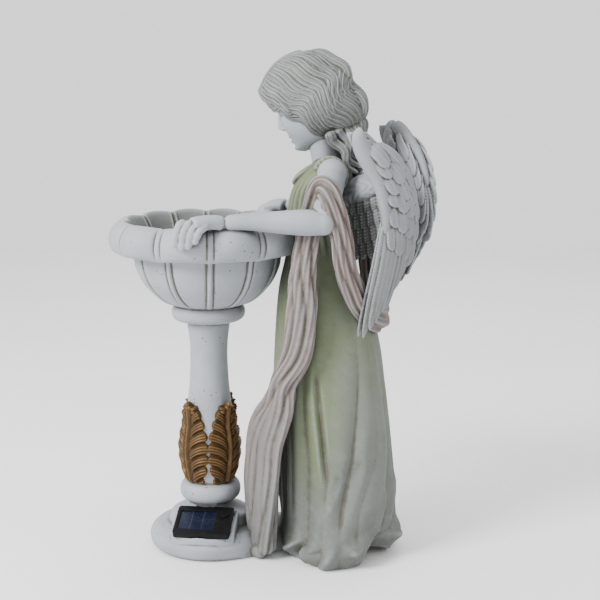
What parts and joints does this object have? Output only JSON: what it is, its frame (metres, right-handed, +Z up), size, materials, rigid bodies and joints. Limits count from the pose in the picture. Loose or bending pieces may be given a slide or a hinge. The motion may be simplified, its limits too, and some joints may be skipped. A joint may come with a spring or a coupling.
{
  "type": "angel bird bath",
  "caption": "Garden statue of a child angel leaning over a scalloped bird bath on a pedestal with gilded leaves, with a small solar module in the base.",
  "frame": {"origin": "the point on the flat underside where the pedestal's axis meets the ground", "axes": "+Z up, +X from the pedestal towards the figure, -Y towards the side with the solar module"},
  "size_m": [0.3668, 0.2344, 0.5837],
  "materials": {
    "painted_resin_stone": "matte cast resin stone, pale blue-grey with an olive wash in the recesses, sage dress, mauve scarf, antique gold leaves",
    "housing_plastic": "satin black moulded plastic",
    "solar_cell": "glossy blue-black cell with fine lines"
  },
  "bodies": {
    "root": {"statue": "painted_resin_stone", "solar_housing": "housing_plastic", "solar_cell": "solar_cell", "solar_button": "housing_plastic"}
  },
  "joints": []
}
